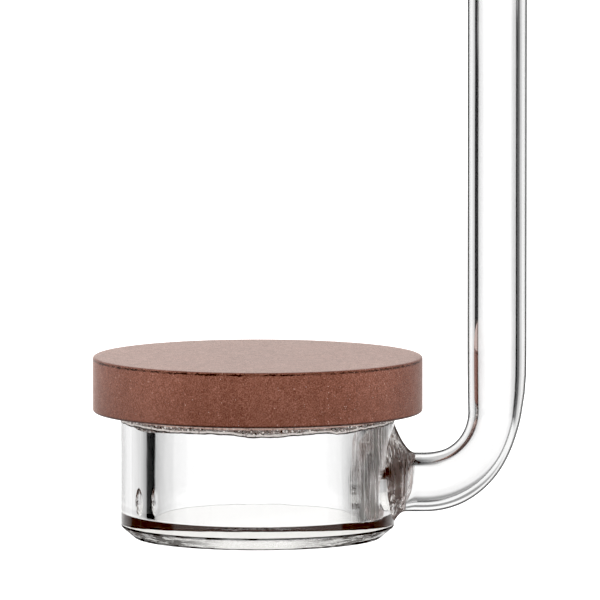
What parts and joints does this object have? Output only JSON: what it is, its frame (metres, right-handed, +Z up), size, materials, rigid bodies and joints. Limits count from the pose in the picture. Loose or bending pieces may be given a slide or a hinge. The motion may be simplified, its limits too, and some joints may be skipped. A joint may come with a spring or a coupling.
{
  "type": "carbon dioxide diffuser",
  "caption": "Clear glass cup closed by a porous ceramic disc and fed by a bent glass tube, with a sliding suction cup. It breaks carbon dioxide gas into a mist of fine bubbles.",
  "frame": {"origin": "centre of the flat underside of the glass base, on the cup's axis", "axes": "+Z up, along the cup's axis and the tall tube; +X from the cup's axis to the tube and on to the suction cup's face; +Y completes a right-handed set"},
  "size_m": [0.0567, 0.034, 0.12],
  "materials": {
    "glass": "clear flame-worked glass",
    "adhesive": "clear glue with trapped bubbles",
    "ceramic": "matt, porous, sintered",
    "silicone": "translucent silicone",
    "soft_vinyl": "clear soft vinyl"
  },
  "bodies": {
    "glassware": {"chamber_base": "glass", "chamber_wall": "glass", "inlet_weld": "glass", "inlet_elbow": "glass", "inlet_riser": "glass", "disc_adhesive": "adhesive", "ceramic_disc": "ceramic"},
    "sleeve": {"stem_sleeve": "silicone"},
    "suction_cup": {"suction_cup": "soft_vinyl"}
  },
  "joints": [
    {"name": "sleeve_slide", "type": "slide", "parent": "glassware", "child": "sleeve", "axis": [0, 0, 1], "range_m": [-0.048, 0.006]},
    {"name": "cup_swivel", "type": "hinge", "parent": "sleeve", "child": "suction_cup", "pos_m": [0.02465, 0, 0.086], "axis": [0, 0, 1], "continuous": true}
  ]
}
